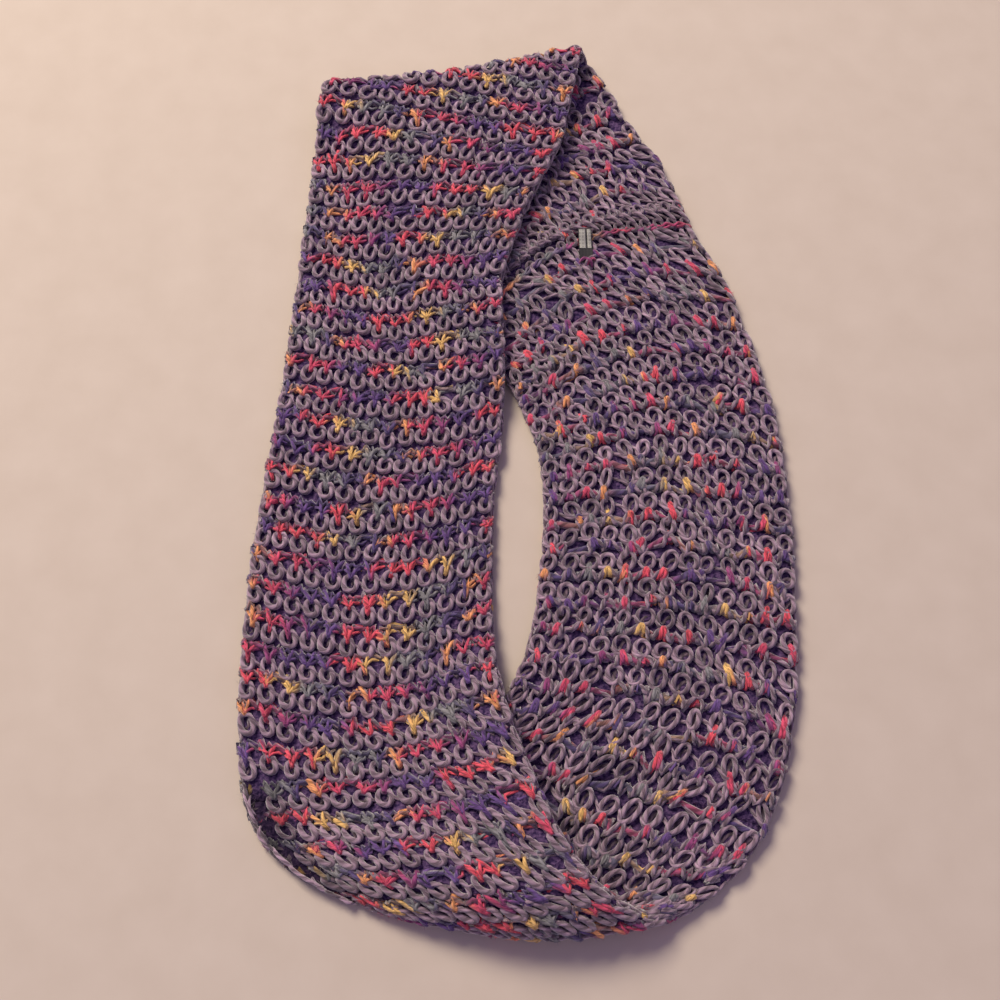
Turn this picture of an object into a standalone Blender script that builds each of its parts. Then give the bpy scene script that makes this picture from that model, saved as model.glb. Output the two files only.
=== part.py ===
"""A hand-knitted infinity scarf, lying flat on a surface: one thick ribbed strip, sewn end to end.

The strip goes up the front stretch, turns under itself in the top fold, comes down the back
stretch, and turns up again through the bottom fold. Its west edge is the edge with the lower X
in each stretch, and its east edge is the other. Z is up and the scarf rests on Z = 0.
All lengths below are in millimetres.
"""

import math
from collections import namedtuple

import bpy
import numpy as np

MM = 0.001

# The strip.
THICK = 10.0
HALF = THICK / 2
RIB_PITCH = 21.0
RIB_RELIEF = 1.0
EDGE_ROUND = 4.0
EDGE_THINNING = 0.8
REST_Z = HALF
SEAM_GAP = 0.3

# The top fold is a turn about a slanting line that sags a little between its ends.
FOLD_X = -134.0
FOLD_Y = 333.0
FOLD_ANGLE = math.radians(10.0)
FOLD_SPAN = 200.0
FOLD_SAG = 6.0
FOLD_RADIUS = 8.5
FOLD_HEADING = math.radians(79.0)
FOLD_TOP_Z = REST_Z + 2 * FOLD_RADIUS
FOLD_FIRST_WEST = (-141.0, 328.0)
FOLD_FIRST_EAST = (50.0, 292.0)
FOLD_RUN = 108.0
FOLD_ROWS = 19

# The sewn end seam, which stands a little above the strip and is pressed flat where the front
# stretch lies on it. Its place is counted in rows of the back stretch.
SEAM_LENGTH = 17.0
SEAM_RISE = 3.0
SEAM_ROUNDING = 1.2
SEAM_BARE_FROM = 0.28
SEAM_BARE_TO = 0.42
SEAM_ROW = 3

# The label, a thin tab sewn in at the seam. It comes down the seam's side and lies on the crests
# of the ribs. Each bend is the Y of a section and the height of its underside.
LABEL_X = 63.5
LABEL_WIDTH = 10.0
LABEL_THICK = 1.2
LABEL_BENDS = [(213.0, 14.4), (209.0, 13.8), (201.0, 11.3), (184.0, 11.3)]

# The number of points across the strip and along each rib, on the flat stretches and the folds.
FLAT_ACROSS = 9
FLAT_PER_RIB = 3
FOLD_ACROSS = 17
FOLD_PER_RIB = 4
SEAM_STATIONS = 5

# The least distance from a stretch's end to its next section, as a share of the usual step, and
# the angle between faces from which an edge is shaded as sharp.
SHORTEST_STEP = 0.3
SHARP_ANGLE = math.radians(40.0)

# Finishes: linear base colour and roughness.
YARN_COLOUR = (0.19, 0.16, 0.18)
YARN_ROUGHNESS = 0.95
LABEL_COLOUR = (0.02, 0.02, 0.02)
LABEL_ROUGHNESS = 0.8

# The middle of the scarf's box, which becomes the origin.
CENTRE_X = 14.6
CENTRE_Y = 47.0

# One row of stitches across the strip: its two ends, how far its middle bows towards +Y, the
# height of its east end's middle layer, and where the climb to that height starts and ends, as
# shares of the way from west to east.
Row = namedtuple(
    "Row", "west_x west_y east_x east_y bow east_z climb_from climb_to"
)

# From the bottom fold up to the top fold, outer face up.
FRONT_ROWS = [
    Row(-163, -205, 22, -190, -8, 31, 0.25, 1.00),
    Row(-170, -162, 9, -157, -12, 25, 0.50, 1.00),
    Row(-172, -112, -2, -110, -14, 12, 0.60, 1.00),
    Row(-171, -60, -4, -58, -15, 5, 0.70, 1.00),
    Row(-167, -5, -3, -3, -14, 5, 0.70, 1.00),
    Row(-161, 52, 3, 53, -12, 7, 0.70, 1.00),
    Row(-156, 112, 4, 108, -9, 17, 0.55, 0.92),
    Row(-152, 173, 3, 165, -7, 17, 0.35, 0.66),
    Row(-149, 225, 16, 213, -6, 18, 0.15, 0.50),
    Row(-146, 276, 34, 255, -4, 20, 0.00, 0.35),
]

# From the top fold down to the bottom fold, inner face up.
BACK_ROWS = [
    Row(-72, 226, 104, 314, 10, REST_Z, 0, 1),
    Row(-54, 188, 124, 280, 15, REST_Z, 0, 1),
    Row(-37, 160, 135, 250, 21, REST_Z, 0, 1),
    Row(-22, 136, 145, 222, 25, REST_Z, 0, 1),
    Row(-10, 114, 159, 192, 25, REST_Z, 0, 1),
    Row(2, 92, 174, 156, 24, REST_Z, 0, 1),
    Row(14, 68, 189, 104, 20, REST_Z, 0, 1),
    Row(26, 34, 198, 50, 15, REST_Z, 0, 1),
    Row(29, -8, 201, -8, 10, REST_Z, 0, 1),
    Row(26, -54, 200, -64, 7, REST_Z, 0, 1),
    Row(21, -88, 197, -108, 7, REST_Z, 0, 1),
    Row(12, -119, 192, -150, 7, REST_Z, 0, 1),
    Row(-2, -147, 183, -187, 6, REST_Z, 0, 1),
    Row(-20, -172, 168, -221, 2, REST_Z, 0, 1),
    Row(-36, -200, 147, -249, -5, REST_Z, 0, 1),
]

# Round the bottom fold, from the back stretch to the front stretch.
BOTTOM_ROWS = [
    Row(-49, -231, 118, -269, -9, 7, 0.00, 1.00),
    Row(-62, -258, 92, -274, -14, 18, 0.00, 0.90),
    Row(-90, -264, 70, -263, -10, 30, 0.00, 0.80),
    Row(-122, -252, 52, -246, -8, 36, 0.00, 0.75),
    Row(-148, -231, 37, -224, -8, 36, 0.05, 0.85),
]


def smooth_step(value):
    value = np.clip(value, 0.0, 1.0)
    return value * value * (3 - 2 * value)


def row_points(row, share):
    """The middle layer of one row, at the given shares of the way from west to east."""
    west = np.array([row.west_x, row.west_y])
    east = np.array([row.east_x, row.east_y])
    side = (east - west) / np.linalg.norm(east - west)
    west, east = west + EDGE_ROUND * side, east - EDGE_ROUND * side
    bow = row.bow * np.array([-side[1], side[0]])
    plan = west + np.outer(share, east - west) + np.outer(np.sin(np.pi * share), bow)
    climb = smooth_step((share - row.climb_from) / (row.climb_to - row.climb_from))
    height = REST_Z + (row.east_z - REST_Z) * climb
    return np.column_stack([plan, height])


def turn_under(plan):
    """Wraps flat points round the top fold: short of the line they stay, past it they go under."""
    line = np.array([math.cos(FOLD_ANGLE), math.sin(FOLD_ANGLE)])
    out = np.array([-line[1], line[0]])
    start = np.array([FOLD_X, FOLD_Y])
    along = (plan - start) @ line
    sag = FOLD_SAG * np.sin(np.pi * np.clip(along / FOLD_SPAN, 0, 1))
    past = (plan - start) @ out + sag
    half_turn = math.pi * FOLD_RADIUS
    angle = np.clip(past, 0, half_turn) / FOLD_RADIUS
    reach = FOLD_RADIUS * np.sin(angle) + np.minimum(past, 0) - np.maximum(past - half_turn, 0)
    reach -= sag
    height = FOLD_TOP_Z - FOLD_RADIUS * (1 - np.cos(angle))
    return np.column_stack([start + np.outer(along, line) + np.outer(reach, out), height])


def top_fold_rows(share):
    """The rows of the top fold, from the last one that lies on top to the first one beneath."""
    west = np.array(FOLD_FIRST_WEST)
    east = np.array(FOLD_FIRST_EAST)
    side = (east - west) / np.linalg.norm(east - west)
    west, east = west + EDGE_ROUND * side, east - EDGE_ROUND * side
    ahead = np.array([math.cos(FOLD_HEADING), math.sin(FOLD_HEADING)])
    flat_row = west + np.outer(share, east - west)
    return [turn_under(flat_row + step * ahead) for step in np.linspace(0, FOLD_RUN, FOLD_ROWS)]


def all_rows(across):
    """Every row round the strip, each with the given number of points."""
    share = np.linspace(0, 1, across)
    front = [row_points(row, share) for row in FRONT_ROWS]
    back = [row_points(row, share) for row in BACK_ROWS + BOTTOM_ROWS]
    return np.array(front + top_fold_rows(share) + back)


ROWS = {across: all_rows(across) for across in (FLAT_ACROSS, FOLD_ACROSS)}

# The mean distance from each row to the next, each row's place along the strip, and its length.
fine_rows = ROWS[FOLD_ACROSS]
STEPS = np.linalg.norm(np.roll(fine_rows, -1, axis=0) - fine_rows, axis=2).mean(axis=1)
PLACES = np.concatenate([[0], np.cumsum(STEPS)])
LENGTH = PLACES[-1]
RIBS = round(LENGTH / RIB_PITCH)


def middle_layer(stations, across):
    """The strip's middle layer at the given distances along it, smooth through every row.

    It is a cubic from each row to the next. Its slope at a row is that of the parabola through
    the row and its two neighbours, and the strip closes on itself.
    """
    rows = ROWS[across]
    after = STEPS[:, None, None]
    before = np.roll(after, 1, axis=0)
    slope_after = (np.roll(rows, -1, axis=0) - rows) / after
    slope_before = np.roll(slope_after, 1, axis=0)
    slopes = (slope_before * after + slope_after * before) / (after + before)

    place = np.mod(stations, LENGTH)
    first = np.searchsorted(PLACES, place, side="right") - 1
    second = (first + 1) % len(rows)
    step = STEPS[first][:, None, None]
    u = ((place - PLACES[first]) / STEPS[first])[:, None, None]
    points = (
        (2 * u**3 - 3 * u**2 + 1) * rows[first]
        + (u**3 - 2 * u**2 + u) * step * slopes[first]
        + (3 * u**2 - 2 * u**3) * rows[second]
        + (u**3 - u**2) * step * slopes[second]
    )
    points[..., 2] = np.maximum(points[..., 2], REST_Z)
    return points


def directions(stations, across, nudge=1.5):
    """The unit normals of the strip's outer face, and the unit directions from west to east.

    The direction along the strip is read between two points a small nudge to each side.
    """
    ahead = middle_layer(stations + nudge, across)
    along = ahead - middle_layer(stations - nudge, across)
    side = np.gradient(middle_layer(stations, across), axis=1)
    normal = np.cross(side, along)
    normal /= np.linalg.norm(normal, axis=2, keepdims=True)
    side /= np.linalg.norm(side, axis=2, keepdims=True)
    return normal, side


def wall_rings(stations, across, raised):
    """Closed sections of the wall: the outer face from west to east, then the inner face back.

    A face that looks up is raised by the given heights. A face that looks down stays plain.
    """
    middle = middle_layer(stations, across)
    normal, side = directions(stations, across)
    thinning = np.ones(across)
    thinning[[0, -1]] = EDGE_THINNING

    def face(direction):
        looks_up = smooth_step(2 * direction[..., 2] + 0.5)
        reach = (HALF + raised * looks_up) * thinning
        points = middle + direction * reach[..., None]
        points[..., 2] = np.maximum(points[..., 2], 0)
        return points

    west_rim = middle[:, :1] - EDGE_ROUND * side[:, :1]
    east_rim = middle[:, -1:] + EDGE_ROUND * side[:, -1:]
    return np.concatenate([face(normal), east_rim, face(-normal)[:, ::-1], west_rim], axis=1)


def solid(name, rings, material, collection):
    """A closed solid lofted through the rings, with a flat-sided cap at each end."""
    count, around = rings.shape[:2]
    points = (rings.reshape(-1, 3) - [CENTRE_X, CENTRE_Y, 0]) * MM
    faces = []
    for i in range(count - 1):
        for j in range(around):
            k = (j + 1) % around
            faces.append((i * around + j, i * around + k, (i + 1) * around + k, (i + 1) * around + j))
    across = (around - 2) // 2
    for base, turned in ((0, True), ((count - 1) * around, False)):
        outer = [base + j for j in range(across)]
        inner = [base + around - 2 - j for j in range(across)]
        east, west = base + across, base + around - 1
        cap = [(outer[j], outer[j + 1], inner[j + 1], inner[j]) for j in range(across - 1)]
        cap += [(outer[-1], east, inner[-1]), (inner[0], west, outer[0])]
        faces += [tuple(reversed(face)) for face in cap] if turned else cap
    mesh = bpy.data.meshes.new(name)
    mesh.from_pydata([tuple(p) for p in points], [], faces)
    mesh.validate()
    mesh.materials.append(material)
    mesh.shade_smooth()
    mesh.set_sharp_from_angle(angle=SHARP_ANGLE)
    item = bpy.data.objects.new(name, mesh)
    collection.objects.link(item)
    return item


def stretch(name, start, end, across, per_rib, material, collection):
    """One ribbed stretch of the strip, between two places along it."""
    pitch = LENGTH / RIBS / per_rib
    first = math.ceil(start / pitch + SHORTEST_STEP)
    last = math.floor(end / pitch - SHORTEST_STEP)
    between = np.arange(first, last + 1) * pitch
    stations = np.concatenate([[start + SEAM_GAP / 2], between, [end - SEAM_GAP / 2]])
    ribs = RIB_RELIEF * np.cos(2 * np.pi * RIBS * stations / LENGTH)
    return solid(name, wall_rings(stations, across, ribs[:, None]), material, collection)


def end_seam(start, end, material, collection):
    """The sewn row that joins the two ends: one rounded ridge across the strip."""
    stations = np.linspace(start + SEAM_GAP / 2, end - SEAM_GAP / 2, SEAM_STATIONS)
    rounding = np.cos(np.linspace(-SEAM_ROUNDING, SEAM_ROUNDING, SEAM_STATIONS))
    share = np.linspace(0, 1, FLAT_ACROSS)
    bare = smooth_step((share - SEAM_BARE_FROM) / (SEAM_BARE_TO - SEAM_BARE_FROM))
    raised = RIB_RELIEF + SEAM_RISE * np.outer(rounding, bare)
    return solid("end_seam", wall_rings(stations, FLAT_ACROSS, raised), material, collection)


def finish(name, colour, roughness):
    material = bpy.data.materials.new(name)
    material.use_nodes = True
    shader = material.node_tree.nodes["Principled BSDF"]
    shader.inputs["Base Color"].default_value = (*colour, 1)
    shader.inputs["Roughness"].default_value = roughness
    shader.inputs["Metallic"].default_value = 0
    return material


def label_tab(material, collection):
    """The label's thin slab, with a section at each bend."""
    half = LABEL_WIDTH / 2
    section = ((-half, 0), (half, 0), (half, LABEL_THICK), (-half, LABEL_THICK))
    points = [
        ((LABEL_X + x - CENTRE_X) * MM, (y - CENTRE_Y) * MM, (under + z) * MM)
        for y, under in LABEL_BENDS
        for x, z in section
    ]
    faces = [(3, 2, 1, 0)]
    for i in range(len(LABEL_BENDS) - 1):
        for j in range(4):
            k = (j + 1) % 4
            faces.append((4 * i + j, 4 * i + k, 4 * i + 4 + k, 4 * i + 4 + j))
    faces.append(tuple(range(len(points) - 4, len(points))))
    mesh = bpy.data.meshes.new("label")
    mesh.from_pydata(points, [], faces)
    mesh.materials.append(material)
    label = bpy.data.objects.new("label", mesh)
    collection.objects.link(label)
    return label


def main():
    for item in list(bpy.data.objects):
        bpy.data.objects.remove(item, do_unlink=True)
    scarf = bpy.data.collections.new("infinity_scarf")
    bpy.context.scene.collection.children.link(scarf)
    yarn = finish("taupe wool yarn", YARN_COLOUR, YARN_ROUGHNESS)
    woven = finish("black woven label", LABEL_COLOUR, LABEL_ROUGHNESS)

    first_fold = len(FRONT_ROWS)
    first_back = first_fold + FOLD_ROWS
    front_end = PLACES[first_fold]
    back_start = PLACES[first_back - 1]
    seam_end = PLACES[first_back + SEAM_ROW]
    seam_start = seam_end - SEAM_LENGTH
    back_end = PLACES[first_back + len(BACK_ROWS) - 2]

    flat = (FLAT_ACROSS, FLAT_PER_RIB, yarn, scarf)
    folded = (FOLD_ACROSS, FOLD_PER_RIB, yarn, scarf)
    stretch("front_stretch", 0, front_end, *flat)
    stretch("top_fold", front_end, back_start, *folded)
    stretch("back_stretch_upper", back_start, seam_start, *flat)
    end_seam(seam_start, seam_end, yarn, scarf)
    stretch("back_stretch", seam_end, back_end, *flat)
    stretch("bottom_fold", back_end, LENGTH, *folded)
    label_tab(woven, scarf)
    print(f"The strip is {LENGTH:.0f} mm round, with {RIBS} ribs, in {len(scarf.objects)} solids.")


main()
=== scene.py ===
# %% [markdown]
# # A hand-knitted infinity scarf
#
# This lesson dresses a plain solid model as the thing it stands for: a thick scarf, knitted by
# hand from two yarns held side by side, sewn end to end, and laid flat. One yarn is bulky and
# taupe grey. The other is thin, and its dye changes every few stitches.
#
# A knitted cloth could be a smooth sheet with a bump pattern, but bulky yarn casts real shadows
# into its own holes. So the stitches here are real tubes of yarn, laid on the cloth by a few
# short functions.

# %% Open the frame
import math
from collections import defaultdict, namedtuple
from functools import partial

import bpy
import numpy as np
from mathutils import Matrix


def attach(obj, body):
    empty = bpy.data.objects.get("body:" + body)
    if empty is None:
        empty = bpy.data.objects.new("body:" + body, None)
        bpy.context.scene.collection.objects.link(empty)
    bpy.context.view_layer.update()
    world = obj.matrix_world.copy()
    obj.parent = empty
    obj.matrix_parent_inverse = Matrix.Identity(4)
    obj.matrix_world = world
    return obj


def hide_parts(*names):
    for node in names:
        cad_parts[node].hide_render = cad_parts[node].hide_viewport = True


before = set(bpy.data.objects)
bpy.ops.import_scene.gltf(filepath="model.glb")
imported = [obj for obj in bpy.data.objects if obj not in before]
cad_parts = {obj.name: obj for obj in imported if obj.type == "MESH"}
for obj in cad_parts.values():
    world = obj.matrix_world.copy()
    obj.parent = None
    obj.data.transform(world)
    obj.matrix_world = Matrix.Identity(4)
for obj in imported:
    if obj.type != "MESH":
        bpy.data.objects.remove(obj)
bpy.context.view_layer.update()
MM = 0.001
BODY = "root"
print("The frame holds", len(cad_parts), "solids:", ", ".join(sorted(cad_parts)))

# %% [markdown]
# ## Small helpers
#
# Colours are written as sRGB hex values, as a paint card would give them. Blender's shaders work
# in linear light, so one function turns the one into the other. Another adds a node with its
# settings, and links or fills its sockets. A third starts a material, and gives back the second
# one tied to that material's nodes. The last two put a mesh, camera or lamp into the scene, and
# turn it to look at a target.


# %% Helpers
def linear(code):
    """An sRGB hex colour as linear red, green, blue and alpha."""
    parts = [int(code[i : i + 2], 16) / 255 for i in (0, 2, 4)]
    return [c / 12.92 if c <= 0.04045 else ((c + 0.055) / 1.055) ** 2.4 for c in parts] + [1.0]


def add_node(tree, kind, inputs=None, **settings):
    """Adds a node. Inputs that are sockets, or nodes for their first output, are linked."""
    node = tree.nodes.new("ShaderNode" + kind)
    for name, value in settings.items():
        setattr(node, name, value)
    for name, value in (inputs or {}).items():
        value = value.outputs[0] if isinstance(value, bpy.types.Node) else value
        if isinstance(value, bpy.types.NodeSocket):
            tree.links.new(value, node.inputs[name])
        else:
            node.inputs[name].default_value = value
    return node


def new_material(name):
    """A material without nodes, and the function that adds nodes to it."""
    material = bpy.data.materials.new(name)
    material.use_nodes = True
    material.node_tree.nodes.clear()
    return material, partial(add_node, material.node_tree)


def add_object(name, data):
    """A new object in the scene, with a mesh, camera or lamp as its data."""
    thing = bpy.data.objects.new(name, data)
    bpy.context.scene.collection.objects.link(thing)
    return thing


def look_at(thing, place, target):
    """Puts a camera or a lamp at a place, looking at its target with the horizon level."""
    thing.location = place
    away = np.subtract(target, place)
    thing.rotation_euler = (
        math.atan2(math.hypot(away[0], away[1]), -away[2]), 0,
        math.atan2(away[1], away[0]) - math.pi / 2,
    )


print("Helpers are ready. Taupe 8b7583 is", [round(c, 3) for c in linear("8b7583")])

# %% [markdown]
# ## The camera
#
# The scarf is seen from above its near end, looking steeply down. The lens and the place of the
# camera were worked out first, so that every later step could be looked at from there.

# %% Camera
SENSOR = 36.0
LENS = 40.14
CAMERA_PLACE = (-0.0146, -0.3138, 0.733)
CAMERA_TARGET = (-0.0146, -0.0470, 0.0)

camera_data = bpy.data.cameras.new("camera")
camera_data.sensor_width = SENSOR
camera_data.lens = LENS
camera = add_object("camera", camera_data)
look_at(camera, CAMERA_PLACE, CAMERA_TARGET)
bpy.context.scene.camera = camera
print(f"The camera looks down at {90 - math.degrees(camera.rotation_euler.x):.0f} degrees.")

# %% [markdown]
# ## The shape of the strip
#
# The scarf is one strip, and everything on it is placed by three numbers: how far along the
# strip, how far across it, and how high above its middle layer. The strip's course is a short
# table of rows. Each row of the table is a line across the strip: its two ends, how much it
# bows, and how high its east end lies. Between these lines the strip is a smooth cubic.
#
# The table's own coordinates are in millimetres from a mark on the table top. The model's origin
# is the middle of the scarf, so one shift at the very end takes every point there.

# %% The strip's table
HALF = 5.0
REST_Z = HALF

Row = namedtuple(
    "Row", "west_x west_y east_x east_y bow east_z climb_from climb_to", defaults=(REST_Z, 0, 1)
)
FRONT_ROWS = [
    Row(-163, -205, 22, -190, -8, 31, 0.25, 1.00),
    Row(-170, -162, 9, -157, -12, 25, 0.50, 1.00),
    Row(-172, -112, -2, -110, -14, 12, 0.60, 1.00),
    Row(-171, -60, -4, -58, -15, 5, 0.70, 1.00),
    Row(-167, -5, -3, -3, -14, 5, 0.70, 1.00),
    Row(-161, 52, 3, 53, -12, 7, 0.70, 1.00),
    Row(-156, 112, 4, 108, -9, 17, 0.55, 0.92),
    Row(-152, 173, 3, 165, -7, 17, 0.35, 0.66),
    Row(-149, 225, 16, 213, -6, 18, 0.15, 0.50),
    Row(-146, 276, 34, 255, -4, 20, 0.00, 0.35),
]
BACK_ROWS = [
    Row(-72, 226, 104, 314, 10),
    Row(-54, 188, 124, 280, 15),
    Row(-37, 160, 135, 250, 21),
    Row(-22, 136, 145, 222, 25),
    Row(-10, 114, 159, 192, 25),
    Row(2, 92, 174, 156, 24),
    Row(14, 68, 189, 104, 20),
    Row(26, 34, 198, 50, 15),
    Row(29, -8, 201, -8, 10),
    Row(26, -54, 200, -64, 7),
    Row(21, -88, 197, -108, 7),
    Row(12, -119, 192, -150, 7),
    Row(-2, -147, 183, -187, 6),
    Row(-20, -172, 168, -221, 2),
    Row(-36, -200, 147, -249, -5),
]
BOTTOM_ROWS = [
    Row(-49, -231, 118, -269, -9, 7, 0.00, 1.00),
    Row(-62, -258, 92, -274, -14, 18, 0.00, 0.90),
    Row(-90, -264, 70, -263, -10, 30, 0.00, 0.80),
    Row(-122, -252, 52, -246, -8, 36, 0.00, 0.75),
    Row(-148, -231, 37, -224, -8, 36, 0.05, 0.85),
]
print(len(FRONT_ROWS) + len(BACK_ROWS) + len(BOTTOM_ROWS), "rows in the table")

# %% From the table to rows of points
EDGE_ROUND = 4.0
FOLD_START = np.array([-134.0, 333.0])
FOLD_ANGLE = math.radians(10.0)
FOLD_SPAN = 200.0
FOLD_SAG = 6.0
FOLD_RADIUS = 8.5
FOLD_HEADING = math.radians(79.0)
FOLD_WEST, FOLD_EAST = np.array([-141.0, 328.0]), np.array([50.0, 292.0])
FOLD_RUN = 108.0
FOLD_ROWS = 19


def smooth_step(value):
    value = np.clip(value, 0.0, 1.0)
    return value * value * (3 - 2 * value)


def inside_rims(west, east):
    """A row's two ends, moved in by the round of the edge, and the direction between them."""
    side = (east - west) / np.linalg.norm(east - west)
    return west + EDGE_ROUND * side, east - EDGE_ROUND * side, side


def row_points(row, share):
    """The middle layer of one row, at the given shares of the way from west to east."""
    west, east, side = inside_rims(np.array(row[:2]), np.array(row[2:4]))
    bow = row.bow * np.array([-side[1], side[0]])
    plan = west + np.outer(share, east - west) + np.outer(np.sin(np.pi * share), bow)
    climb = smooth_step((share - row.climb_from) / (row.climb_to - row.climb_from))
    return np.column_stack([plan, REST_Z + (row.east_z - REST_Z) * climb])


def turn_under(plan):
    """Wraps flat points round the top fold: short of the line they stay, past it they go under."""
    line = np.array([math.cos(FOLD_ANGLE), math.sin(FOLD_ANGLE)])
    out = np.array([-line[1], line[0]])
    along = (plan - FOLD_START) @ line
    sag = FOLD_SAG * np.sin(np.pi * np.clip(along / FOLD_SPAN, 0, 1))
    past = (plan - FOLD_START) @ out + sag
    half_turn = math.pi * FOLD_RADIUS
    angle = np.clip(past, 0, half_turn) / FOLD_RADIUS
    reach = FOLD_RADIUS * np.sin(angle) + np.minimum(past, 0) - np.maximum(past - half_turn, 0)
    reach -= sag
    height = REST_Z + 2 * FOLD_RADIUS - FOLD_RADIUS * (1 - np.cos(angle))
    return np.column_stack([FOLD_START + np.outer(along, line) + np.outer(reach, out), height])


def top_fold_rows(share):
    """The rows of the top fold, from the last one that lies on top to the first one beneath."""
    west, east, _ = inside_rims(FOLD_WEST, FOLD_EAST)
    ahead = np.array([math.cos(FOLD_HEADING), math.sin(FOLD_HEADING)])
    flat_row = west + np.outer(share, east - west)
    return [turn_under(flat_row + step * ahead) for step in np.linspace(0, FOLD_RUN, FOLD_ROWS)]


def all_rows(across):
    share = np.linspace(0, 1, across)
    front = [row_points(row, share) for row in FRONT_ROWS]
    back = [row_points(row, share) for row in BACK_ROWS + BOTTOM_ROWS]
    return np.array(front + top_fold_rows(share) + back)


print("The far fold adds", FOLD_ROWS, "rows.")

# %% From rows of points to a smooth strip
MEASURED_ACROSS = 17
ACROSS = 33
RIB_PITCH = 21.0

measured = all_rows(MEASURED_ACROSS)
STEPS = np.linalg.norm(np.roll(measured, -1, axis=0) - measured, axis=2).mean(axis=1)
PLACES = np.concatenate([[0], np.cumsum(STEPS)])
LENGTH = PLACES[-1]
RIBS = round(LENGTH / RIB_PITCH)
PITCH = LENGTH / RIBS
ROWS = all_rows(ACROSS)


def middle_layer(stations):
    """The strip's middle layer at the given distances along it, smooth through every row."""
    after = STEPS[:, None, None]
    before = np.roll(after, 1, axis=0)
    slope_after = (np.roll(ROWS, -1, axis=0) - ROWS) / after
    slope_before = np.roll(slope_after, 1, axis=0)
    slopes = (slope_before * after + slope_after * before) / (after + before)
    place = np.mod(stations, LENGTH)
    first = np.minimum(np.searchsorted(PLACES, place, side="right") - 1, len(ROWS) - 1)
    second = (first + 1) % len(ROWS)
    step = STEPS[first][:, None, None]
    u = ((place - PLACES[first]) / STEPS[first])[:, None, None]
    points = (
        (2 * u**3 - 3 * u**2 + 1) * ROWS[first]
        + (u**3 - 2 * u**2 + u) * step * slopes[first]
        + (3 * u**2 - 2 * u**3) * ROWS[second]
        + (u**3 - u**2) * step * slopes[second]
    )
    points[..., 2] = np.maximum(points[..., 2], REST_Z)
    return points


print(f"The strip is {LENGTH:.0f} mm round and has {RIBS} rows of stitches.")

# %% [markdown]
# ## A cloth to work on
#
# Next comes a fine grid of the cloth: its middle layer, the direction out of its outer face, and
# the direction across it. Yarn is then placed by reading this grid, so that each stitch leans
# and turns with the cloth wherever it bends. The edge of a knitted strip is round, so heights
# shrink to nothing at the rim. Faces that look down lie flatter, because they rest on something.

# %% The grid of the cloth
PER_RIB = 8
NUDGE = 1.5
RIM = 8.0
RIB_RELIEF = 1.0

grid_places = np.linspace(0, LENGTH, RIBS * PER_RIB + 1)
MIDDLE = middle_layer(grid_places)
along_cloth = (middle_layer(grid_places + NUDGE) - middle_layer(grid_places - NUDGE)) / (2 * NUDGE)
STRETCH = np.linalg.norm(along_cloth, axis=2)[..., None]
side_cloth = np.gradient(MIDDLE, axis=1)
SIDE = side_cloth / np.linalg.norm(side_cloth, axis=2, keepdims=True)
normal_cloth = np.cross(side_cloth, along_cloth)
NORMAL = normal_cloth / np.linalg.norm(normal_cloth, axis=2, keepdims=True)
row_lengths = np.linalg.norm(np.diff(MIDDLE, axis=1), axis=2).sum(axis=1)
WIDTH = np.repeat(row_lengths[:, None, None], ACROSS, axis=1)


def read_grid(table, place, share):
    """Reads one of the grid's tables at any places and shares."""
    row = np.mod(place, LENGTH) / LENGTH * (len(table) - 1)
    column = np.clip(share, 0, 1) * (ACROSS - 1)
    i = np.minimum(row.astype(int), len(table) - 2)
    j = np.minimum(column.astype(int), ACROSS - 2)
    a = (row - i)[..., None]
    b = (column - j)[..., None]
    west = (1 - a) * table[i, j] + a * table[i + 1, j]
    east = (1 - a) * table[i, j + 1] + a * table[i + 1, j + 1]
    return (1 - b) * west + b * east


def on_cloth(place, fraction, height, face):
    """The points at these places along the strip, fractions of its full width, and heights.

    The face is 1 for the outer one and -1 for the inner one. Each face is read as its own
    viewer sees it, so on the inner one the fractions run from east to west.
    """
    width = read_grid(WIDTH, place, np.full(np.shape(fraction), 0.5))[..., 0]
    full = width + 2 * EDGE_ROUND
    share = (fraction * full - EDGE_ROUND) / width
    if face < 0:
        share = 1 - share
    inset = np.clip(np.minimum(fraction, 1 - fraction) * full / RIM, 0, 1)
    height = height * np.sqrt(1 - (1 - inset) ** 2)
    normal = read_grid(NORMAL, place, share) * face
    looks_up = smooth_step(2 * normal[..., 2] + 0.5)
    fit = (HALF + RIB_RELIEF * looks_up) / (HALF + RIB_RELIEF)
    beyond = (share - np.clip(share, 0, 1)) * width
    points = read_grid(MIDDLE, place, share) + read_grid(SIDE, place, share) * beyond[..., None]
    return points + normal * (height * fit)[..., None]


print(f"The cloth is {row_lengths.mean() + 2 * EDGE_ROUND:.0f} mm wide on average.")

# %% [markdown]
# ## Yarn as tubes
#
# A strand of yarn is a tube along a smooth path. Blender's curve objects could do this, but
# thousands of stitches are quicker as one mesh, built with NumPy: a ring of points round the
# path at each step, and a skin of four-sided faces between the rings. Each tube also carries a
# map, turns round it and millimetres along it, which the wool material uses to lay its fibres.

# %% Make and paint a mesh
CENTRE = [14.6, 47.0, 0.0]
FLOOR_GAP = 0.1
triangles = {}
cloth_pieces = defaultdict(list)


def to_metres(points):
    """Millimetres on the table top to metres from the model's origin, never below the table."""
    points = points - CENTRE
    points[..., 2] = np.maximum(points[..., 2], FLOOR_GAP)
    return points * MM


def add_mesh(name, points, faces, material):
    """A new object in the scene with a mesh of these points and faces."""
    mesh = bpy.data.meshes.new(name)
    mesh.from_pydata(points, [], faces)
    mesh.materials.append(material)
    return add_object(name, mesh)


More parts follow.
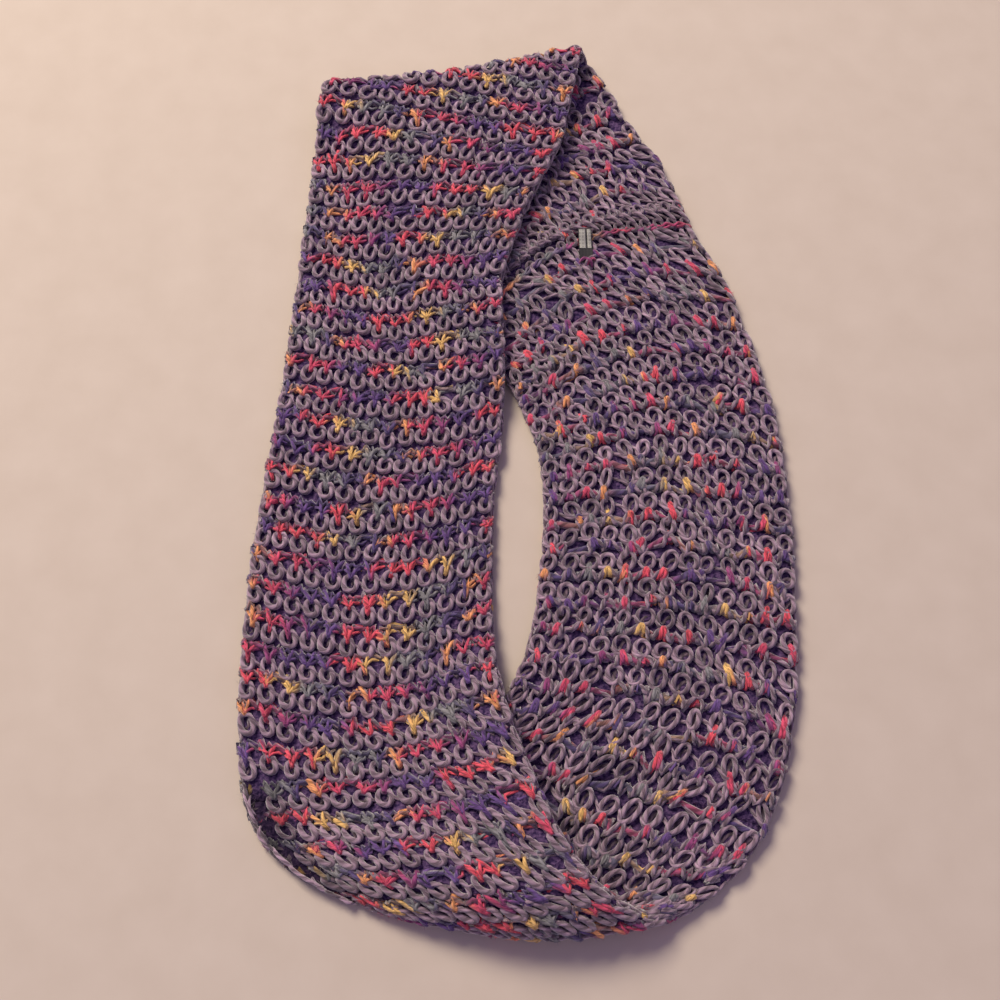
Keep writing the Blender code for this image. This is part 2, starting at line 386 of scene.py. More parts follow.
def add_piece(name, points, faces, material):
    """A smooth piece, with its material and the body that it rides on."""
    piece = add_mesh(name, points.tolist(), faces, material)
    piece.data.shade_smooth()
    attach(piece, BODY)
    triangles[name] = sum(len(face) - 2 for face in faces)
    print(f"{name}: {triangles[name]} triangles")
    return piece


def paint(piece, colours):
    """Gives each point of a piece the colour that its material reads."""
    tone = piece.data.attributes.new("tone", "FLOAT_COLOR", "POINT")
    tone.data.foreach_set("color", colours.reshape(-1))


def skin(index):
    """Four-sided faces between closed rings of points. The index has one line for each ring."""
    turned = np.roll(index, -1, axis=-1)
    quads = [index[..., :-1, :], turned[..., :-1, :], turned[..., 1:, :], index[..., 1:, :]]
    return np.stack(quads, axis=-1).reshape(-1, 4).tolist()


print("Pieces lie at least", FLOOR_GAP, "mm above the table top.")

# %% The yarn builder
MAP_SHIFT = 137.0

rng = np.random.default_rng(11)


def smooth_path(points, steps):
    """A smooth curve through the points of each strand (a Catmull-Rom spline)."""
    first = 2 * points[:, :1] - points[:, 1:2]
    last = 2 * points[:, -1:] - points[:, -2:-1]
    padded = np.concatenate([first, points, last], axis=1)[:, :, None, :]
    p0, p1, p2, p3 = padded[:, :-3], padded[:, 1:-2], padded[:, 2:-1], padded[:, 3:]
    t = (np.arange(steps) / steps)[None, None, :, None]
    curve = 0.5 * (
        2 * p1 + (p2 - p0) * t + (2 * p0 - 5 * p1 + 4 * p2 - p3) * t**2
        + (3 * p1 - p0 - 3 * p2 + p3) * t**3
    )
    curve = curve.reshape(len(points), -1, points.shape[2])
    return np.concatenate([curve, points[:, -1:]], axis=1)


def unit(vectors):
    return vectors / np.maximum(np.linalg.norm(vectors, axis=-1, keepdims=True), 1e-9)


def tube_rings(paths, radii, sides):
    """Rings of points round each path. Each ring's start is carried along without twisting."""
    heading = unit(np.gradient(paths, axis=1))
    carried = [unit(np.cross(heading[:, 0], [0.31, 0.17, 0.93]))]
    for step in range(1, paths.shape[1]):
        ahead = heading[:, step]
        flat = carried[-1] - (carried[-1] * ahead).sum(axis=1, keepdims=True) * ahead
        carried.append(unit(flat))
    first = np.stack(carried, axis=1)
    second = np.cross(heading, first)
    angle = np.linspace(0, 2 * np.pi, sides, endpoint=False)[:, None]
    spoke = np.cos(angle) * first[:, :, None] + np.sin(angle) * second[:, :, None]
    return paths[:, :, None] + spoke * radii[:, :, None, None]


def uneven(paths, radius, amount=0.07):
    """Radii for strands that are a little thicker and thinner along their length."""
    strands, steps = paths.shape[:2]
    knots = rng.normal(1, amount, (strands, steps // 5 + 2))
    where = np.linspace(0, knots.shape[1] - 1, steps)
    return radius * np.array([np.interp(where, np.arange(len(row)), row) for row in knots])


def yarn_piece(owner, kind, groups, material):
    """One mesh of many strands. A group has paths, radii, a colour for each point, and sides."""
    points, faces, maps, tones = [], [], [], []
    base = 0
    for paths, radii, colours, sides in groups:
        strands, steps = paths.shape[:2]
        index = base + np.arange(strands * steps * sides).reshape(strands, steps, sides)
        base += index.size
        faces += skin(index) + index[:, 0, ::-1].tolist() + index[:, -1].tolist()
        points.append(tube_rings(paths, radii, sides).reshape(-1, 3))
        tones.append(np.repeat(colours.reshape(-1, 4), sides, axis=0))

        walk = np.linalg.norm(np.diff(paths, axis=1), axis=2)
        walk = np.concatenate([np.zeros((strands, 1)), np.cumsum(walk, axis=1)], axis=1)
        walk += np.arange(strands)[:, None] * MAP_SHIFT
        u = np.broadcast_to(np.arange(sides + 1) / sides, (strands, steps, sides + 1))
        uv = np.stack([u, np.broadcast_to(walk[:, :, None], u.shape)], axis=-1)
        corners = [uv[:, :-1, :-1], uv[:, :-1, 1:], uv[:, 1:, 1:], uv[:, 1:, :-1]]
        maps += [np.stack(corners, axis=3).reshape(-1), np.zeros(2 * strands * sides * 2)]
    points = to_metres(np.concatenate(points))
    piece = add_piece(f"{owner}_{kind}", points, faces, material)
    piece.data.uv_layers.new(name="yarn_map").data.foreach_set("uv", np.concatenate(maps))
    paint(piece, np.concatenate(tones))
    cloth_pieces[owner].append(piece)


print("The yarn builder is ready.")

# %% [markdown]
# ## Wool
#
# Three finishes make the cloth. The bulky yarn is a soft woollen-spun wool in taupe grey, which
# scatters light among its fibres, so it is rough, with a faint sheen at grazing angles and no
# sharp highlight. The thin yarn is the same wool, dyed in patches along its length: each point
# of its mesh carries its dye. The points of both yarns also carry painted shade and painted
# highlight where the code sets them. Between the stitches lie the hidden strands of the
# knitting, in a dark colour that is painted shade.
#
# The bulky yarn has two plies that turn once in 16 mm. Fibres are drawn at 0.5 mm, coarser than
# real ones, so that they show.

# %% Wool
BULKY_RADIUS = 1.85
THIN_RADIUS = 0.9
PLY_TURN = 16.0
FIBRE_LENGTH = 5.0
FIBRE_FINE = 0.5
FUZZ = 0.7
FUZZ_DEPTH = 0.6
MOTTLE = 9.0


def wool(name, radius, sheen, ply_depth, bump):
    """A wool whose colour comes from its points, with streaks of fibre along each strand and
    painted shade in the grooves between its plies.
    """
    material, add = new_material(name)
    parts = add("SeparateXYZ", {"Vector": add("UVMap", uv_map="yarn_map")})
    around, ahead = parts.outputs["X"], parts.outputs["Y"]
    turn = add("Math", {0: ahead, 1: 2 * math.pi / PLY_TURN}, operation="MULTIPLY")
    angle = add("Math", {0: around, 1: 2 * math.pi, 2: turn}, operation="MULTIPLY_ADD")
    cosine = add("Math", {0: angle}, operation="COSINE")
    sine = add("Math", {0: angle}, operation="SINE")
    along = add("Math", {0: ahead, 1: FIBRE_FINE / FIBRE_LENGTH / radius}, operation="MULTIPLY")
    on_strand = add("CombineXYZ", {"X": cosine, "Y": sine, "Z": along})
    streaks = add("TexNoise", {"Vector": on_strand, "Scale": radius / FIBRE_FINE, "Detail": 2.0})
    place = add("TexCoord").outputs["Object"]
    fuzz = add("TexNoise", {"Vector": place, "Scale": 1 / (FUZZ * MM), "Detail": 2.0})
    mottle = add("TexNoise", {"Vector": place, "Scale": 1 / (MOTTLE * MM), "Detail": 2.0})
    double = add("Math", {0: cosine, 1: sine}, operation="MULTIPLY")
    plies = add("Math", {0: double, 1: ply_depth, 2: streaks}, operation="MULTIPLY_ADD")
    height = add("Math", {0: fuzz, 1: FUZZ_DEPTH, 2: plies}, operation="MULTIPLY_ADD")
    relief = add("Bump", {"Height": height, "Strength": bump, "Distance": FIBRE_FINE * MM})
    # The fibres' own tone, mixed with painted light: ply grooves painted darker as shade, bright
    # streaks as painted highlight.
    streaks_and_painted_light = add(
        "MapRange",
        {"Value": plies, "From Min": 0.34, "From Max": 0.66, "To Min": 0.5, "To Max": 1.5},
    )
    mottle_shade = add(
        "MapRange",
        {"Value": mottle, "From Min": 0.3, "From Max": 0.7, "To Min": 0.86, "To Max": 1.14},
    )
    both = add("Math", {0: streaks_and_painted_light, 1: mottle_shade}, operation="MULTIPLY")
    dye_and_painted_light = add("Attribute", attribute_name="tone")
    colour = add("VectorMath", {"Vector": dye_and_painted_light, "Scale": both}, operation="SCALE")
    shader = add(
        "BsdfPrincipled",
        {"Base Color": colour, "Roughness": 0.9, "Specular IOR Level": 0.15,
         "Sheen Weight": sheen, "Sheen Roughness": 0.5, "Normal": relief},
    )
    add("OutputMaterial", {"Surface": shader})
    return material


bulky_wool = wool(
    "woollen-spun wool, bulky, taupe grey", BULKY_RADIUS, sheen=0.8, ply_depth=0.35, bump=0.9
)
thin_wool = wool(
    "woollen-spun wool, thin, dyed in patches", THIN_RADIUS, sheen=0.4, ply_depth=0.15, bump=0.6
)
print("Each of the two wools has", len(bulky_wool.node_tree.nodes), "nodes.")

# %% The wool behind the stitches, in painted shade
PAINTED_SHADE_DARK, PAINTED_SHADE_LIGHT = "30244a", "735a82"
KNOT = 2.0

painted_shade_wool, add = new_material("woollen-spun wool, hidden strands")
place = add("TexCoord").outputs["Object"]
knots = add("TexNoise", {"Vector": place, "Scale": 1 / (KNOT * MM), "Detail": 5.0})
share = add("MapRange", {"Value": knots, "From Min": 0.38, "From Max": 0.66})
mottle = add("Mix", {0: share, 6: linear(PAINTED_SHADE_DARK), 7: linear(PAINTED_SHADE_LIGHT)}, data_type="RGBA")
# The tone attribute carries the painted shade of the hollow beside the lip.
tone = add("Attribute", attribute_name="tone")
colour = add("VectorMath", {0: mottle.outputs[2], 1: tone}, operation="MULTIPLY")
relief = add("Bump", {"Height": knots, "Strength": 1.0, "Distance": KNOT * MM})
shader = add(
    "BsdfPrincipled",
    {"Base Color": colour, "Roughness": 0.95, "Specular IOR Level": 0.1, "Normal": relief},
)
add("OutputMaterial", {"Surface": shader})
print("Materials:", ", ".join(m.name for m in bpy.data.materials))

# %% [markdown]
# ## The stretches
#
# The strip is dressed in the same stretches as the solids, so that each piece of yarn stands
# where its solid stands. Where the two ends are sewn together there is a seam in place of a row.

# %% Stretches
SEAM_LENGTH = 17.0
SEAM_ROW = 3
SEAM_CLEAR = 6.0
FIRST_AFTER_SEAM = 8.0

Stretch = namedtuple("Stretch", "name start end")
first_fold = len(FRONT_ROWS)
first_back = first_fold + FOLD_ROWS
seam_end = PLACES[first_back + SEAM_ROW]
seam_start = seam_end - SEAM_LENGTH
back_end = PLACES[first_back + len(BACK_ROWS) - 2]
STRETCHES = [
    Stretch("front_stretch", 0, PLACES[first_fold]),
    Stretch("top_fold", PLACES[first_fold], PLACES[first_back - 1]),
    Stretch("back_stretch_upper", PLACES[first_back - 1], seam_start),
    Stretch("back_stretch", seam_end, back_end),
    Stretch("bottom_fold", back_end, LENGTH),
]


def rows_in(stretch):
    """The places of the rows of stitches in a stretch, clear of the seam."""
    places = np.arange(RIBS) * PITCH
    places = places[(places >= stretch.start) & (places < stretch.end)]
    if stretch.start == seam_end:
        first = seam_end + FIRST_AFTER_SEAM
        count = round((places[-1] - first) / PITCH + 0.6) + 1
        return np.linspace(first, places[-1], count)
    if stretch.end == seam_start:
        return places[places < seam_start - SEAM_CLEAR]
    return places


for stretch in STRETCHES:
    print(f"{stretch.name}: {stretch.end - stretch.start:.0f} mm, {len(rows_in(stretch))} rows")

# %% [markdown]
# ## One stitch of the bulky yarn
#
# Seen from outside, each stitch of the bulky yarn is an oval ring. The strand comes from behind
# the ring's left side, crosses low behind its hole, rises inside its top, goes once round, and
# leaves over its own start at the upper right to slip behind the next ring. The table holds the
# bends of that path in millimetres: across the row, along the strip, and out of the cloth. Then
# may come a painted lightness, painted shade on the deep bends behind the hole and painted
# highlight on the tail over the upper right, and how thick the strand is where it is pulled tight.
#
# The inner face was knitted more loosely. Its rings are larger and its strand is pulled thinner.

# %% The path of a stitch
STITCHES = 13
STITCH_WIDTH = 14.3
FULL_WIDTH = STITCHES * STITCH_WIDTH
LOOSE_RADIUS = 1.55


def bends(*rows):
    """A table of bends. Where a row gives no lightness or thickness, they are 1."""
    return np.array([row + (1.0,) * (5 - len(row)) for row in rows])


# The fourth column is painted lightness: painted shade on the deep bends, painted highlight on the
# tail.
FIRM_RING = bends(
    (-5.2, -1.6, 0.8, 0.6, 0.8), (-2.4, -2.6, 0.8, 0.5, 0.8), (0.4, -1.0, 0.6, 0.5, 0.8),
    (2.0, 2.4, 1.6, 0.6, 0.9), (3.7, 2.4, 3.4, 0.95), (4.3, -1.2, 4.4), (2.8, -4.4, 4.5),
    (-0.4, -5.4, 4.6), (-3.4, -4.0, 4.7), (-4.5, -0.4, 4.6), (-3.6, 3.4, 4.4), (-0.4, 5.1, 4.2),
    (3.2, 4.5, 4.4, 1.1, 0.85), (5.4, 1.4, 4.1, 1.2, 0.6),
)
LOOSE_RING = bends(
    (-5.0, -1.8, 0.8, 0.6), (-2.2, -2.4, 1.2, 0.6), (0.2, 0.2, 1.0, 0.6), (1.8, 3.8, 2.2, 0.8),
    (3.8, 3.0, 3.9, 1.0, 1.1), (4.5, -0.8, 4.6, 1.0, 1.1), (3.1, -4.5, 4.7), (0.0, -5.8, 4.7),
    (-3.2, -4.4, 4.8), (-4.6, -0.8, 4.8, 1.0, 1.1), (-3.8, 3.2, 4.6, 1.0, 1.1),
    (-1.0, 5.6, 4.4), (3.0, 5.6, 4.7, 1.15, 0.9), (5.9, 2.0, 4.2, 1.15, 0.75),
)
RING = {1: FIRM_RING, -1: LOOSE_RING}
RING_RADIUS = {1: BULKY_RADIUS, -1: LOOSE_RADIUS}
ring_size = np.ptp(FIRM_RING[:, :2], axis=0) + 2 * BULKY_RADIUS
print(f"A firm ring is {ring_size[0]:.1f} mm wide and {ring_size[1]:.1f} mm tall.")

# %% [markdown]
# ## No two stitches alike
#
# Stitches made by hand differ, so each one gets a small turn, shift and size of its own from a
# random generator with a fixed seed. Near the seam and on the folds the cloth is pulled, and the
# stitches are drawn out long and narrow. At the near fold the west rim lies on the table as a
# thin lip, and the two columns of stitches beside it are sunk in its hollow and painted darker
# as painted shade.

# %% Differences between stitches
SPREADS = {
    "turn": (0, math.radians(11)), "wide": (1, 0.09), "tall": (1, 0.07), "across": (0, 0.5),
    "along": (0, 0.8), "lift": (0, 0.3), "light": (1, 0.12), "thick": (1, 0.06),
}
WANDER = {1: 1.0, -1: 1.4}
DRIFT = 0.9
DRIFT_KNOTS = 5
SEAM_PULL = 70.0
FOLD_PULL = 110.0
FOLD_PULL_CENTRE = LENGTH - 40.0
INNER_PULL = 70.0
INNER_SHARE = 0.6
PULL_FROM, PULL_FADE = 0.55, 0.35
LEAN, INNER_LEAN = 0.25, -0.15
NARROWED, LENGTHENED = 0.22, 0.2
LIP_CENTRE = LENGTH - 48.0
LIP_SPAN = 62.0
LIP_END = 14.0
RECESS = {0: 4.4, 1: 2.4}
PAINTED_SHADE_DEPTH = 5.6


def distance_along(places, centre):
    return np.abs((places - centre + LENGTH / 2) % LENGTH - LENGTH / 2)


def near_lip(places):
    """1 where the strip's west rim lies on the table as a thin lip, 0 away from there."""
    return smooth_step((LIP_SPAN - distance_along(places, LIP_CENTRE)) / LIP_END)


def wander(places, face):
    """Small differences for each stitch of each row, by name."""
    knots = rng.normal(0, DRIFT, (len(places), DRIFT_KNOTS))
    columns = np.linspace(0, DRIFT_KNOTS - 1, STITCHES)
    drift = np.array([np.interp(columns, np.arange(DRIFT_KNOTS), row) for row in knots])
    shape = (len(places), STITCHES, 1)
    own = {"shade": np.ones(shape)}
    for key, (middle, spread) in SPREADS.items():
        much = 1.0 if key == "along" else WANDER[face]
        own[key] = middle + rng.normal(0, much * spread, shape)
    own["along"] += drift[..., None]
    if face > 0:
        # Beside the lip the first two columns are sunk, and painted darker as painted shade.
        for column, depth in RECESS.items():
            own["lift"][:, column, 0] -= depth * near_lip(places)
            own["shade"][:, column, 0] = 1 - depth / PAINTED_SHADE_DEPTH * near_lip(places)
    return own


def drawn_out(places, face):
    """How far each stitch is drawn out, 0 to 1, and how far it leans to the left."""
    if face < 0:
        seam = smooth_step(1.2 - distance_along(places, (seam_start + seam_end) / 2) / SEAM_PULL)
        fold = smooth_step(1.2 - distance_along(places, back_end) / INNER_PULL)
        pulled, lean = seam + INNER_SHARE * fold, LEAN * seam + INNER_LEAN * fold
        return pulled[:, None, None], lean[:, None, None]
    column = (np.arange(STITCHES) + 0.5) / STITCHES
    fold = smooth_step(1.3 - distance_along(places, FOLD_PULL_CENTRE) / FOLD_PULL)
    pulled = (fold[:, None] * smooth_step((column - PULL_FROM) / PULL_FADE))[..., None]
    return pulled, LEAN * pulled


print("Stitches differ in", ", ".join(SPREADS))

# %% Lay stitches on the cloth
RIM_LEAST = 0.009
LEAST_BUNCHED, MOST_BUNCHED = 0.45, 1.6
DEEP = 1.0


def lay_bends(table, places, face, own):
    """Each row's path through its stitches' bends: distance along, fraction across, height.

    Bends that lie deep in the cloth stay there when a stitch is lifted or sunk.
    """
    x, y, z = table[..., 0], table[..., 1], table[..., 2]
    pulled, lean = drawn_out(places, face)
    x = x * own["wide"] * (1 - NARROWED * pulled)
    y = y * own["tall"] * (1 + LENGTHENED * pulled)
    x = x - lean * y
    x, y = (
        x * np.cos(own["turn"]) - y * np.sin(own["turn"]) + own["across"],
        x * np.sin(own["turn"]) + y * np.cos(own["turn"]) + own["along"],
    )
    column = np.arange(STITCHES)[None, :, None] + 0.5
    fraction = (column + x / STITCH_WIDTH) / STITCHES
    height = z + own["lift"] * (z > DEEP)
    return np.stack([part.reshape(len(places), -1) for part in (y, fraction, height)], axis=2)


def seat(path, places, face, lift=None):
    """A path to points on the cloth. Where the cloth is bunched, the stitches are shorter."""
    y, fraction, height = path[..., 0], path[..., 1], path[..., 2]
    fraction = np.clip(fraction, RIM_LEAST, 1 - RIM_LEAST)
    start = np.broadcast_to(places[:, None], fraction.shape)
    share = fraction if face > 0 else 1 - fraction
    stretched = np.clip(read_grid(STRETCH, start, share)[..., 0], LEAST_BUNCHED, MOST_BUNCHED)
    if lift is not None:
        height = height + lift(share)
    return on_cloth(start + y / np.sqrt(stretched), fraction, height, face)


print("Rings near the lip are sunk by", list(RECESS.values()), "mm.")

# %% [markdown]
# ## Knitting the rings
#
# Each row is one strand from rim to rim, round all its rings. Its ends dip to the middle of the
# rim, where they meet the strand of the other face. Faces that look down get fewer points.

# %% Knit the bulky yarn
TAUPE = np.array(linear("8b7583"))
FINE = (2, 6)
COARSE = (1, 3)
DARKEST, LIGHTEST = 0.15, 1.6

SIDES = [(stretch, face) for stretch in STRETCHES for face in (1, -1)]
HIDDEN = {("top_fold", -1), ("front_stretch", -1), ("back_stretch", 1), ("back_stretch_upper", 1)}
FACE_NAME = {1: "outer", -1: "inner"}
own_by_face = {}


def tinted(lights, colour):
    """A lightness for each point times one colour."""
    colours = np.clip(lights, DARKEST, LIGHTEST)[..., None] * colour
    colours[..., 3] = 1
    return colours


def knit_rings(stretch, face):
    places = rows_in(stretch)
    own = own_by_face[stretch.name, face] = wander(places, face)
    table = RING[face]
    # Lightness: random tone, times painted shade beside the lip and the table's painted shade and
    # highlight.
    light = (own["light"] * own["shade"] * table[:, 3]).reshape(len(places), -1, 1)
    thick = (own["thick"] * table[:, 4]).reshape(len(places), -1, 1)
    path = np.concatenate([lay_bends(table, places, face, own), light, thick], axis=2)
    ends = path[:, [0, -1]]
    ends[..., 0] = ends[..., 2] = 0
    ends[..., 1] = RIM_LEAST, 1 - RIM_LEAST
    path = np.concatenate([ends[:, :1], path, ends[:, 1:]], axis=1)
    steps, sides = COARSE if (stretch.name, face) in HIDDEN else FINE
    path = smooth_path(path, steps)
    points = seat(path, places, face)
    radii = uneven(points, RING_RADIUS[face]) * path[..., 4]
    groups = [(points, radii, tinted(path[..., 3], TAUPE), sides)]
    yarn_piece(stretch.name, f"rings_{FACE_NAME[face]}", groups, bulky_wool)


for stretch, face in SIDES:
    knit_rings(stretch, face)

# %% [markdown]
# ## The dyed yarn
#
# The thin yarn runs along each row as a zigzag of two strands. They come out over the top of a
# ring, part into a V, and sink under the next row. One strand makes the tall arms, and the
# other flatter ones, so that each patch of colour is a small ragged star. On the loosely
# knitted face the arms stay close together. The dye goes round the same few colours, in patches
# from half a stitch to two stitches long.

# %% Dyes of the thin yarn
DYES = [
    ("634a80", 1.0), ("d2505f", 2.3), ("d8b06c", 1.0), ("7d7c7e", 1.4), ("54456e", 0.8),
    ("da9664", 0.6), ("c24a64", 1.8), ("8c4472", 0.8), ("5c4276", 1.0),
]
PATCHES = 24
PATCH_LEAST, PATCH_MOST = 0.55, 1.45
BLEND = 0.15
wound_by_face = {}


def wind_yarn(rows):
    """For each row, where along it the dye changes, in stitches, and what it changes to."""
    colours = np.array([linear(code) for code, _ in DYES])
    lengths = np.array([length for _, length in DYES])
    result = []
    for start in rng.integers(len(DYES), size=rows):
        order = np.arange(start, start + PATCHES) % len(DYES)
        spans = lengths[order] * rng.uniform(PATCH_LEAST, PATCH_MOST, len(order))
        ends = np.cumsum(spans) - rng.uniform(0, 1)
        knots = np.stack([ends - (1 - BLEND) * spans, ends - BLEND * spans], axis=1).reshape(-1)
        result.append((knots, np.repeat(colours[order], 2, axis=0)))
    return result


def dye_along(wound, stitches):
    """The dye of each row's yarn at the given stitch counts along it."""
    dyes = [[np.interp(stitches, knots, v) for v in values.T] for knots, values in wound]
    return np.moveaxis(np.array(dyes), 1, 2)


def painted_shade_at(own, stitches):
    """The painted shade on each row's yarn at the given stitch counts along it."""
    return own["shade"][:, np.clip(stitches.astype(int), 0, STITCHES - 1)]


print(len(DYES), "dyes go round in about", round(sum(span for _, span in DYES)), "stitches.")

# %% Paths of the thin yarn
TALL_VEE = bends(
    (-7.15, 13.6, 0.6), (-5.2, 14.0, 2.6), (-3.9, 12.0, 4.4), (-1.4, 7.4, 5.8), (-0.4, 4.6, 5.4),
    (0.4, 4.6, 5.4), (1.4, 7.4, 5.8), (3.9, 12.0, 4.4), (5.2, 14.0, 2.6),
)
FLAT_VEE = bends(
    (-7.15, 10.2, 0.8), (-4.9, 9.2, 3.6), (-2.6, 7.8, 5.2), (-0.5, 5.9, 6.0), (0.0, 12.0, 4.8),
    (0.6, 5.9, 6.0), (2.6, 7.8, 5.2), (4.9, 9.2, 3.6),
)
CLOSE_VEE = bends(
    (-7.15, 11.0, 0.8), (-3.4, 13.0, 1.8), (-1.7, 12.6, 4.0), (-1.3, 9.4, 5.7), (-0.7, 6.4, 5.6),
    (0.7, 6.4, 5.6), (1.3, 9.4, 5.7), (1.7, 12.6, 4.0), (3.4, 13.0, 1.8),
)
CLOSE_KNOT = bends(
    (-7.15, 9.0, 0.6), (-4.2, 10.4, 2.4), (-2.4, 10.6, 4.8), (-0.2, 7.4, 6.3), (0.4, 12.0, 5.4),
    (2.6, 9.8, 4.8), (4.4, 10.6, 2.4),
)
VEES = {1: (TALL_VEE, FLAT_VEE), -1: (CLOSE_VEE, CLOSE_KNOT)}
DIPPING = 0.4
DIP_LEAST, DIP_MOST = 1.5, 4.5
LONG_ARM = 0.5
LONG_Y, SHORT_Y = 12.0, 7.0
SUNK, SUNK_BY = 0.22, 2.6
DYED_THICK = {1: 1.6, -1: 1.65}
HIDDEN_THICK = 1.3
CLUMPS = 0.18
VEE_NOISE = {1: 0.7, -1: 0.4}
VEE_SIDES = {1: 4, -1: 5}
VEE_SHIFT = 0.25
VEE_POINT, MIDDLE_ARM = slice(4, 6), 4
NARROW_VEE, WIDE_VEE = 0.8, 1.2
THINNER = 0.2


def knit_vees(stretch, face):
    places = rows_in(stretch)
    own = own_by_face[stretch.name, face]
    hidden = (stretch.name, face) in HIDDEN
    rows = len(places)
    wound = wound_by_face[stretch.name, face] = wind_yarn(rows)
    groups = []
    for part, vee in enumerate(VEES[face][:1] if hidden else VEES[face]):
        table = np.tile(vee[:, :3], (rows, STITCHES, 1, 1))
        if part == 0:
            dips = rng.random((rows, STITCHES)) < DIPPING
            depth = np.where(dips, rng.uniform(DIP_LEAST, DIP_MOST, (rows, STITCHES)), 0)
            table[:, :, VEE_POINT, 1] -= depth[..., None]
            table[:, :, VEE_POINT, 2] -= 0.5 * depth[..., None]
        if face < 0:
            sunk = rng.random((rows, STITCHES, 1)) < SUNK
            table[..., 2] -= np.where(sunk, SUNK_BY, 0)
        elif part == 1:
            long_arm = rng.random((rows, STITCHES)) < LONG_ARM
            table[:, :, MIDDLE_ARM, 1] = np.where(long_arm, LONG_Y, SHORT_Y)
        table[..., 0] *= rng.uniform(NARROW_VEE, WIDE_VEE, (rows, STITCHES, 1))
        table[..., 1] += rng.normal(0, VEE_NOISE[face], (rows, STITCHES, len(vee)))
        steps = 1 if hidden or part else 2
        points = seat(smooth_path(lay_bends(table, places, face, own), steps), places, face)
        stitches = np.linspace(0, STITCHES, points.shape[1]) + VEE_SHIFT * part
        colours = dye_along(wound, stitches)
        # Painted shade beside the lip.
        colours[..., :3] *= painted_shade_at(own, stitches)
        thick = HIDDEN_THICK if hidden else DYED_THICK[face] - THINNER * part
        radii = uneven(points, THIN_RADIUS * thick, CLUMPS)
        groups.append((points, radii, colours, 3 if hidden else VEE_SIDES[face]))
    yarn_piece(stretch.name, f"dyed_{FACE_NAME[face]}", groups, thin_wool)


for stretch, face in SIDES:
    knit_vees(stretch, face)

# %% [markdown]
# ## Strands between the rows
#
# Between rows the bulky yarn climbs from each ring to the next one, painted darker as shade, and
# a length of the thin yarn lies behind it in the valley, its dye darkened and mixed with purple as
# painted shade. On the firm face both are half hidden. On the loose face the climbing strands
# stand out between the rings, and the lengths in the valley are thick and slack.

# %% Knit the strands between
FIRM_CLIMB = bends(
    (-7.15, 9.0, 1.6), (-4.6, 13.6, 3.2), (-2.6, 9.8, 3.9), (-1.6, 6.0, 2.8), (1.6, 6.0, 2.8),
    (2.6, 9.8, 3.9), (4.6, 13.6, 3.2),
)
FIRM_VALLEY = bends(
    (-6.2, 10.2, 3.6), (-4.4, 13.8, 4.0), (-2.2, 11.0, 3.8), (0.2, 14.2, 3.8), (2.4, 11.2, 4.2),
    (4.8, 13.6, 3.6),
)
LOOSE_CLIMB = bends(
    (-7.15, 8.2, 3.2), (-5.4, 15.0, 5.0), (-3.4, 9.6, 5.7), (0.0, 5.2, 3.0), (3.4, 9.6, 5.7),
    (5.4, 15.0, 5.0),
)
LOOSE_VALLEY = bends((-5.4, 9.4, 3.2), (-2.0, 11.8, 3.8), (1.6, 9.6, 3.2), (5.0, 12.0, 3.8))
CLIMB_PAINTED_SHADE = {1: 0.72, -1: 0.88}
VALLEY_PAINTED_SHADE = 0.55
VALLEY_DYE = 0.6
VALLEY_SHADE_PURPLE = np.array(linear("4f4370"))
UNEVEN_LIGHT = 0.16

Between = namedtuple("Between", "table radius noise clumps steps sides")
BETWEEN = {
    1: (Between(FIRM_CLIMB, 1.7, 0.6, 0.15, 1, 4), Between(FIRM_VALLEY, 1.7, 0.6, 0.15, 1, 4)),
    -1: (Between(LOOSE_CLIMB, 1.65, 0.45, 0.1, 2, 4), Between(LOOSE_VALLEY, 2.2, 0.6, 0.2, 2, 5)),
}


def knit_between(stretch, face):
    places = rows_in(stretch)
    own = own_by_face[stretch.name, face]
    groups = []
    for dyed, kind in enumerate(BETWEEN[face]):
        table = np.tile(kind.table[:, :3], (len(places), STITCHES, 1, 1))
        table += rng.normal(0, kind.noise, table.shape)
        path = smooth_path(lay_bends(table, places, face, own), kind.steps)
        points = seat(path, places, face)
        stitches = np.linspace(0, STITCHES, points.shape[1])
        # Both strands are painted darker as shade; the valley strand's dye is also mixed with a
        # purple painted shade.
        colour = CLIMB_PAINTED_SHADE[face] * TAUPE
        if dyed:
            dye_and_painted_light = VALLEY_PAINTED_SHADE * dye_along(wound_by_face[stretch.name, face], stitches)
            colour = VALLEY_DYE * dye_and_painted_light + (1 - VALLEY_DYE) * VALLEY_SHADE_PURPLE
        # Random tone, times painted shade beside the lip.
        lights = uneven(points, 1.0, UNEVEN_LIGHT) * painted_shade_at(own, stitches)[..., 0]
        radii = uneven(points, kind.radius, kind.clumps)
        groups.append((points, radii, tinted(lights, colour), kind.sides))
    yarn_piece(stretch.name, f"between_{FACE_NAME[face]}", groups, bulky_wool)


for stretch, face in SIDES:
    if (stretch.name, face) not in HIDDEN:
        knit_between(stretch, face)

# %% [markdown]
# ## The selvedge
#
# Along both rims the turns of the yarn form a chain of long narrow loops, one to a row, each
# lying over the next. They are closed loops here, tilted half way between up and outwards. On
# the lip of the near fold they are painted darker as shadow, and a few long slack strands are
# painted pale as highlight.

# %% Selvedge loops
LOOP_POINTS = 14
LOOP_LENGTH = 9.6
LOOP_TILT = math.radians(50)
LOOP_INSET = 3.0
LIP_STEP = 15.0
LIP_SLANT = 3.6
LIP_POINTS = 13
LIP_RADIUS = 1.25


